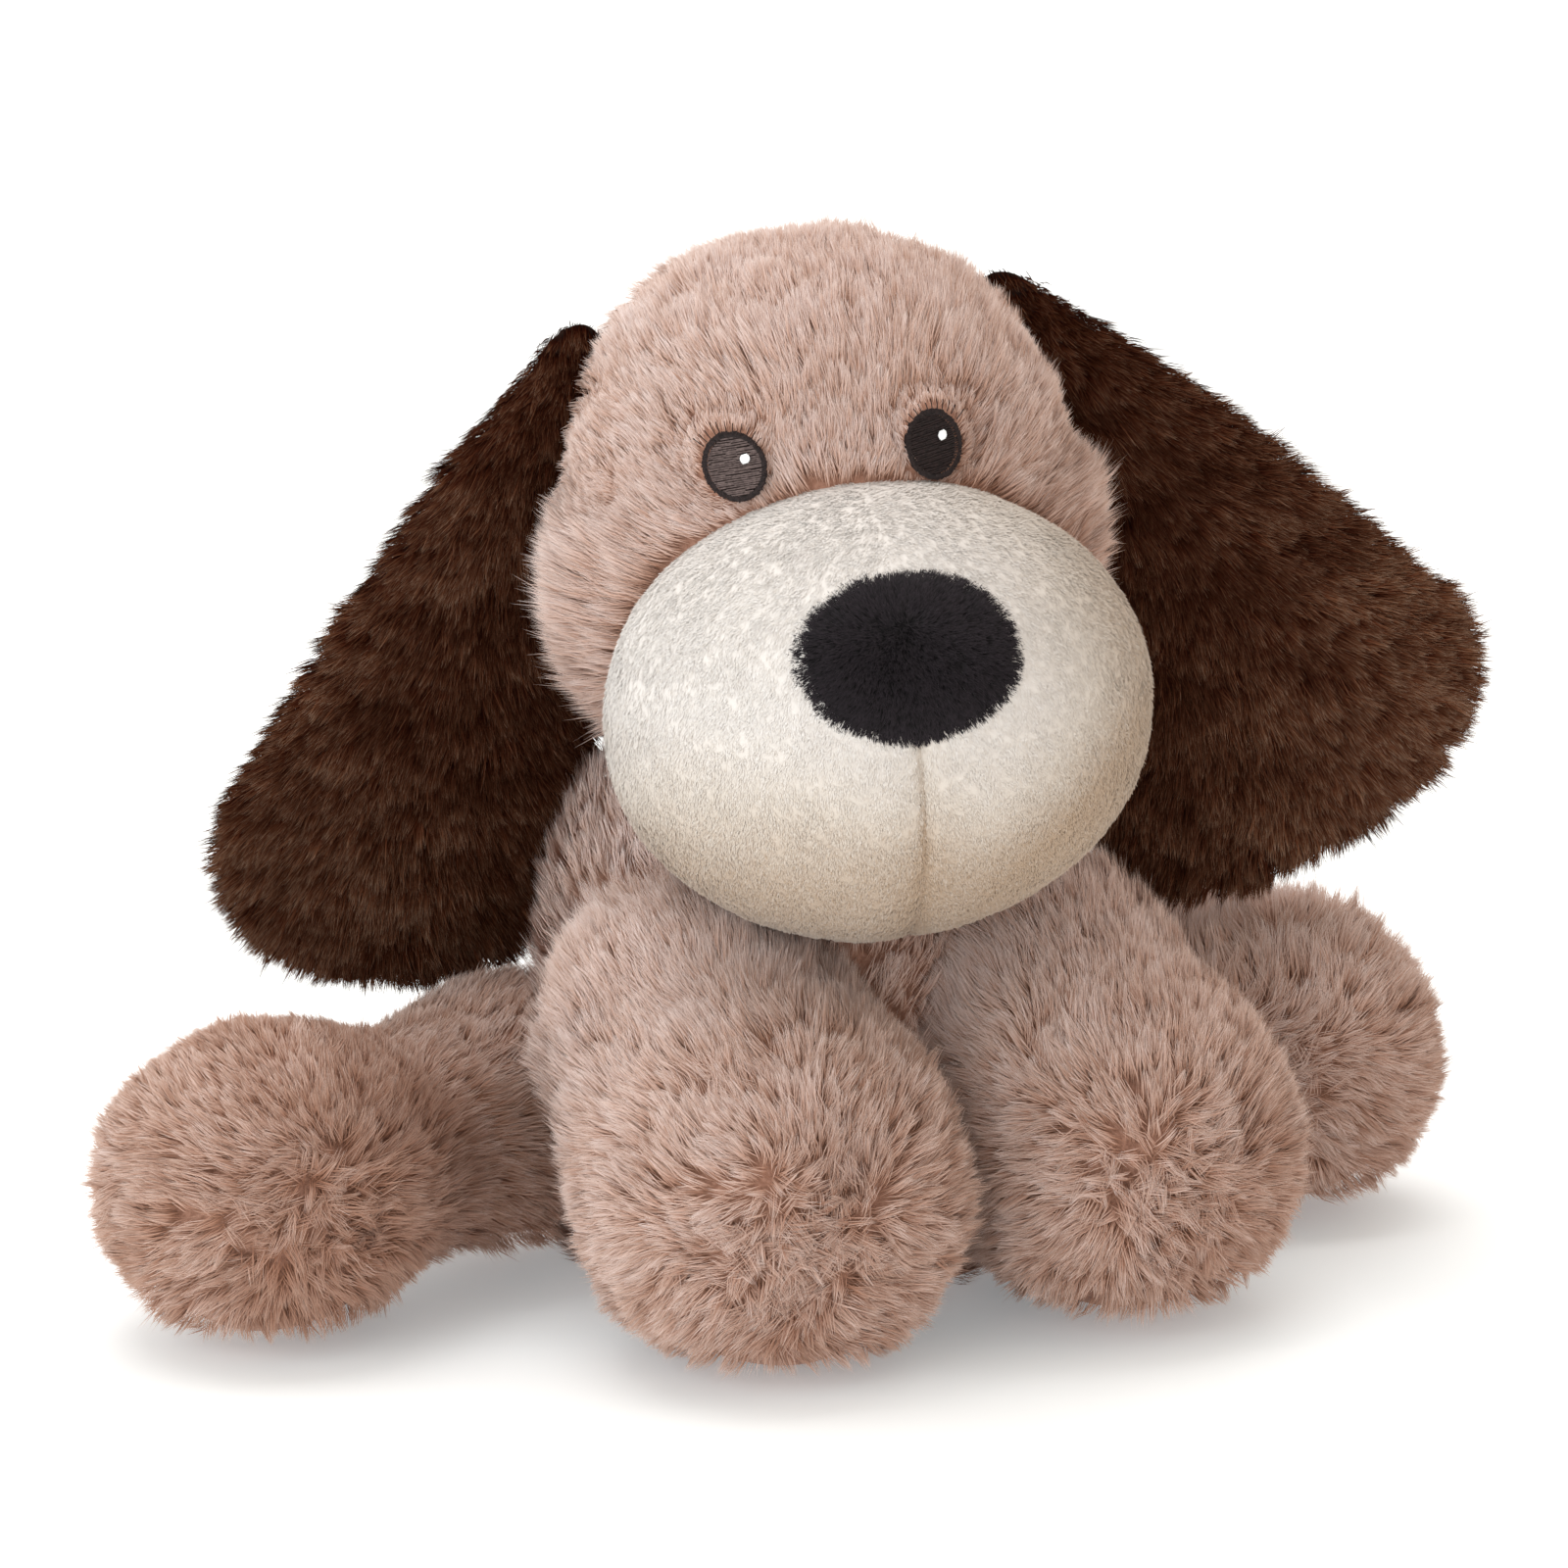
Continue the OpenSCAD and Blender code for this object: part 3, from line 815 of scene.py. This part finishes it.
for part, front in (("front", True), ("back", False)):
    def keep(p, n, front=front):
        return head_keep(p) & ((to_head(p)[:, 1] < 0) == front)

    p, n = head.scatter(int(TUFTS[f"head_{part}"] * COUNT), keep)
    # Pile tone carries painted light: lighter on top and on the dog's right, towards the key lamp.
    pile(f"head_pile_{part}", p, n, head_flow(p), "head", TAUPE, length=head_length(p),
         shade=painted_light_and_patches(p, n), lift=(56, 16), trim=head_trim, jitter=0.16, gather=0.5,
         tones=(0.11, 0.14))


def body_keep(p, n):
    return ~hidden(p, [HEAD] + list(LEGS.values())) & (p[:, 2] > 0.8)


def body_flow(p):
    """Swept upwards and a little outwards."""
    return np.stack([p[:, 0] * 0.006, np.zeros(len(p)), np.ones(len(p))], 1)


p, n = body.scatter(int(TUFTS["body"] * COUNT), body_keep)
shoulder = step(12, 34, p[:, 0]) * step(78, 98, p[:, 2])
# Painted light: the pile tone is lighter on top and on the dog's right, and the right flank (x below -25)
# is lightened further as if lit.
pile("body_pile", p, n, body_flow(p), "body", TAUPE,
     length=8.8 + 6.0 * shoulder, lift=(68, 22 + 14 * shoulder),
     shade=painted_light_and_patches(p, n) + 0.25 * step(-25, -50, p[:, 0]))

for leg_name, leg in LEGS.items():
    sole_dir = SOLE[leg_name]
    others = [BODY] + [v for k, v in LEGS.items() if k != leg_name]

    def leg_keep(p, n):
        seen = np.where(n[:, 2] < -0.6, 0.3, 1.0) * np.where(n[:, 1] > 0.2, 0.75, 1.0)
        return seen * (~hidden(p, others) & (p[:, 2] > 0.8))

    p, n = legs[leg_name].scatter(int(TUFTS["leg"] * COUNT), leg_keep)
    v = unit(p - leg.paw)
    ang = np.degrees(np.arccos(np.clip(v @ sole_dir, -1, 1)))
    on_paw = step(0.35, 0.8, leg.local(p)[:, 2] / leg.length)[:, None]
    swirl = np.cross(sole_dir, v)
    ruffled = np.stack([wave(p, 17, k) for k in (51, 52, 53)], 1)
    tangle = np.maximum(np.exp(-(ang / 20) ** 2), 0.8 * step(0.5, 1.1, wave(p, 18, 61)))
    messy = tangle[:, None] * rng.normal(0, 0.9, (len(p), 3))
    flow = lerp(-leg.axis + 0.25 * ruffled, -sole_dir + 0.2 * swirl + 0.35 * ruffled + 0.5 * messy, on_paw)
    lift1 = 22 + 6 * wave(p, 15, 71) * on_paw[:, 0]
    top = step(0.2, 0.9, n[:, 2])
    length = (8.6 + 1.0 * wave(p, 15, 17)) * (1 + TOP_PILE.get(leg_name, 0.0) * top)
    # Painted shade: the paws darker than the legs above them and some whole legs darker, over the pile
    # tone's painted light; a little darker too where the pile is tangled.
    shade = painted_light_and_patches(p, n) - 0.17 * on_paw[:, 0] - 0.06 * tangle - PAINTED_LEG_SHADE.get(leg_name, 0.0)
    pile(f"{leg_name}_pile", p, n, flow, leg_name, TAUPE, length=length, lift=(64, lift1),
         gather=0.42 + 0.18 * on_paw[:, 0], spread=1.0, shade=shade, tones=(0.10, 0.13))


def ear_painted_light_and_patches(ear, q, p):
    """Painted shade and sheen: darkest on the inner side, greyer and lighter towards the hem and the outer
    edge, with random patches.
    """
    s = -q[:, 2]
    outer = ear.side * q[:, 0] / 36
    patches = 0.16 * wave(p, 22, 8) + 0.10 * wave(p, 7, 9)
    return 0.09 + 0.32 * step(60, 140, s) + 0.30 * step(-0.7, 0.9, outer) + patches


for label, ear in ears.items():
    for part, sign in (("front", -1), ("back", 1)):
        def keep(p, n, ear=ear, sign=sign):
            ny = (n @ ear.frame_turn)[:, 1] * sign
            return (ny > 0) & ~hidden(p, [HEAD, BODY])

        p, n = ear.scatter(int(TUFTS[f"ear_{part}"] * COUNT), keep)
        q = ear.local(p)
        outward = np.clip(q[:, :1] / 32, -1, 1) * (ear.frame_turn @ X)
        flow = ear.down + 1.5 * outward
        length = 8.2 * lerp(0.4, 1.0, step(-6, 24, -q[:, 2]))
        # The ear pile's tone carries painted shade and sheen.
        pile(f"ear_{label}_pile_{part}", p, n, flow, f"ear_{label}", BROWN, length=length, lift=(56, 18),
             shade=ear_painted_light_and_patches(ear, q, p), droop=0.6, width=0.22, roll=0.5, tones=(0.15, 0.20))

for label, panel in panels.items():
    def keep(p, n):
        return (HEAD.depth(p) < 3) & (BODY.depth(p) < 3) & (nose_reach(p) > 0.9)

    p, n = panel.scatter(int(TUFTS["muzzle"] * COUNT), keep)
    q = to_head(p) - MUZZLE_IN_HEAD
    side = 1 if label == "left" else -1
    flow = np.broadcast_to(HEAD_TURN @ np.array([side * 0.2, 0.2, -1.0]), p.shape)
    # The pile takes the same painted tan shade as the muzzle cloth.
    pile(f"muzzle_pile_{label}", p + 0.3 * n, n, flow, "head", CREAM, length=1.15, lift=(26, 10),
         spread=0.45, per=6, width=0.26,
         shade=muzzle_painted_shade(n, q), gather=0.0, soft=1.0, roll=0.12, tones=(0.03, 0.06))

p, n = nose.scatter(int(TUFTS["nose"] * COUNT), lambda p, n: np.ones(len(p), bool))
q = to_head(p) - MUZZLE_IN_HEAD
out = q[:, :1] / NOSE_W * X + ((q @ NOSE_U) / NOSE_H)[:, None] * NOSE_U
flow = (out + 0.35 * np.array([0, 0, -1.0])) @ HEAD_TURN.T
pile("nose_pile", p, n, flow, "head", BLACK, length=2.0, lift=(66, 38), spread=0.45, per=6, width=0.2,
     shade=0.5 + 0.2 * wave(p, 5, 2), gather=0.4, soft=0.6, roll=0.6,
     trim=lambda root, mid, tip: nose_reach(tip) < 1.01 + rng.normal(0, 0.012, len(tip)))


# ---------------------------------------------------------------- embroidered eyes
def stitches(name, starts, ends, grow, width, height, body, material):
    """Raised threads from starts to ends on the face, given as (x, z) in head axes."""
    k, seg = len(starts), 4
    t = np.linspace(0, 1, seg + 1)
    pts = starts[:, None, :] + (ends - starts)[:, None, :] * t[None, :, None]
    arch = height * np.sin(np.clip(t, 0.12, 0.88) * math.pi)[None, :] * 0.5
    g = grow + arch + rng.normal(0, 0.03, (k, 1))
    base = on_face(pts[..., 0], pts[..., 1], 0.0)
    nrm = unit(base * np.array([1, 1, 0.35]))
    line = base + nrm * g[..., None]
    d = unit(line[:, -1] - line[:, 0])[:, None, :]
    side = unit(np.cross(d, nrm))
    w = (width * rng.uniform(0.85, 1.15, k))[:, None, None] / 2
    rows = np.stack([line - side * w, line - side * w * 0.55 + nrm * height * 0.5,
                     line + side * w * 0.55 + nrm * height * 0.5, line + side * w], 2)
    verts = in_head(rows.reshape(-1, 3))
    per = (seg + 1) * 4
    f = []
    for i in range(seg):
        for j in range(3):
            a = i * 4 + j
            f.append([a, a + 1, a + 5, a + 4])
    faces = (np.arange(k)[:, None, None] * per + np.array(f)[None]).reshape(-1, 4)
    return new_object(name, verts, [faces], body, None, material)


def patch(name, ex, w, h, grow, material, body):
    """A small domed oval lying on the face."""
    rings, na = 10, 40
    around = np.linspace(0, 2 * math.pi, na, endpoint=False)
    e, a = np.meshgrid(np.linspace(0, 1, rings), around, indexing="ij")
    x, z = ex + w * e * np.cos(a), EYE_Z + h * e * np.sin(a)
    base = on_face(x.ravel(), z.ravel(), 0.0)
    nrm = unit(base * np.array([1, 1, 0.35]))
    v = in_head(base + nrm * (grow - 1.5 * e.ravel()[:, None] ** 6))
    ob = new_object(name, v, drop_empty(v, grid_faces(rings, na)), body, None, material)
    weld(ob)
    return ob


for label, ex in EYES.items():
    thread = GREY_THREAD if label == "right" else BLACK_THREAD
    ground = patch(f"eye_{label}_ground", ex, EYE_W - 0.3, EYE_H - 0.3, -0.35, DARK_THREAD, "head")
    iw, ih = EYE_W - 1.0, EYE_H - 1.0
    starts, ends = [], []
    slope = math.radians(7)
    for v in np.arange(-ih, ih, 0.43):
        half = iw * math.sqrt(max(0, 1 - (v / ih) ** 2)) + 0.2
        u = -half - rng.uniform(0, 2.2)
        while u < half:
            u2 = min(u + rng.uniform(2.0, 3.0), half)
            u1 = max(u, -half)
            if u2 - u1 > 0.3:
                dz = rng.normal(0, 0.06)
                starts.append((ex + u1, EYE_Z + v + math.tan(slope) * u1 + dz))
                ends.append((ex + u2, EYE_Z + v + math.tan(slope) * u2 + dz))
            u = u2
    starts, ends = np.array(starts), np.array(ends)
    fill = stitches(f"eye_{label}_threads", starts, ends, -0.3, 0.36, 0.3, "head", thread)
    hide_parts(f"eye_{label}_fill")
    a = np.arange(0, 2 * math.pi, 0.05)
    r_in = 1 - 1.0 / EYE_W + rng.normal(0, 0.012, len(a))
    r_out = 1.0 + rng.normal(0, 0.012, len(a))
    inner = np.stack([ex + EYE_W * r_in * np.cos(a), EYE_Z + EYE_H * r_in * np.sin(a)], 1)
    outer = np.stack([ex + EYE_W * r_out * np.cos(a + 0.06), EYE_Z + EYE_H * r_out * np.sin(a + 0.06)], 1)
    la = np.radians(np.linspace(38, 142, 11) + rng.normal(0, 1.5, 11))
    reach = 1.28 + rng.normal(0, 0.03, 11)
    l_in = np.stack([ex + EYE_W * 0.97 * np.cos(la), EYE_Z + EYE_H * 0.97 * np.sin(la)], 1)
    l_out = np.stack([ex + EYE_W * reach * np.cos(la), EYE_Z + EYE_H * reach * np.sin(la)], 1)
    rim = stitches(f"eye_{label}_rim", inner, outer, -0.2, 0.38, 0.34, "head", BLACK_THREAD)
    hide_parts(f"eye_{label}_outline")
    lash = stitches(f"eye_{label}_lashes", l_in, l_out, 1.3, 0.2, 0.3, "head", BLACK_THREAD)
    gx, gz = ex + (2.2 if label == "right" else 1.9), EYE_Z + 1.5
    v = np.arange(-0.75, 0.8, 0.25)
    wv = 0.95 * np.sqrt(np.clip(1 - (v / 0.95) ** 2, 0.1, 1))
    g_in = np.stack([gx - wv, gz + v - 0.1], 1)
    g_out = np.stack([gx + wv, gz + v + 0.15], 1)
    glint = stitches(f"eye_{label}_spark", g_in, g_out, 0.1, 0.34, 0.3, "head", WHITE_THREAD)
    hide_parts(f"eye_{label}_glint")

# ---------------------------------------------------------------- floor, light, camera
def backdrop():
    """A floor that curves up into a wall a long way behind."""
    line = [(-6.0, 0.0), (1.6, 0.0)]
    line += [(1.6 + 1.2 * math.sin(a), 1.2 - 1.2 * math.cos(a)) for a in np.linspace(0.1, math.pi / 2, 14)]
    line += [(2.8, 3.2)]
    wide = np.array([-6.0, 6.0])
    v = np.array([[x, y, z] for y, z in line for x in wide]) / MM
    k = np.arange(len(line) - 1)[:, None] * 2
    ob = new_object("floor", v, [k + np.array([[0, 1, 3, 2]])], None)
    m, nt, b = shader("floor_pale", 0.9)
    b.inputs["Base Color"].default_value = (0.94, 0.94, 0.94, 1)
    b.inputs["Emission Color"].default_value = (0.85, 0.95, 1, 1)
    b.inputs["Emission Strength"].default_value = 0.2
    ob.data.materials.append(m)


backdrop()

world = bpy.data.worlds.new("studio")
world.use_nodes = True
world.node_tree.nodes["Background"].inputs["Color"].default_value = (1, 0.93, 0.84, 1)
world.node_tree.nodes["Background"].inputs["Strength"].default_value = 0.70
bpy.context.scene.world = world
bpy.context.scene.view_settings.view_transform = "Standard"


def area_light(name, at, target, size, power, tint=(1, 1, 1)):
    data = bpy.data.lights.new(name, "AREA")
    data.size, data.energy, data.color = size, power, tint
    ob = bpy.data.objects.new(name, data)
    bpy.context.scene.collection.objects.link(ob)
    ob.location = at
    ob.rotation_euler = (Vector(target) - Vector(at)).to_track_quat("-Z", "Y").to_euler()


area_light("key", (-1.55, -0.80, 0.55), (0, 0, 0.1), 1.5, 18.5, (0.85, 0.95, 1.0))
area_light("fill", (-0.5, -1.7, 0.35), (0, 0, 0.1), 1.4, 9)
area_light("backdrop_light", (0, 0.6, 2.2), (0, 1.6, 0.2), 2.0, 30)

AZ, EL, DIST = math.radians(-25), math.radians(12), 1.3
target = np.array([-0.021, -0.040, 0.115])
back = np.array([math.sin(AZ) * math.cos(EL), -math.cos(AZ) * math.cos(EL), math.sin(EL)])
cam_data = bpy.data.cameras.new("camera")
cam_data.sensor_width = 36
cam_data.lens = DIST * 1000 / 0.205 * 36 / 1600
cam = bpy.data.objects.new("camera", cam_data)
bpy.context.scene.collection.objects.link(cam)
cam.location = target + back * DIST
cam.rotation_euler = Vector(-back).to_track_quat("-Z", "Y").to_euler()
bpy.context.scene.camera = cam
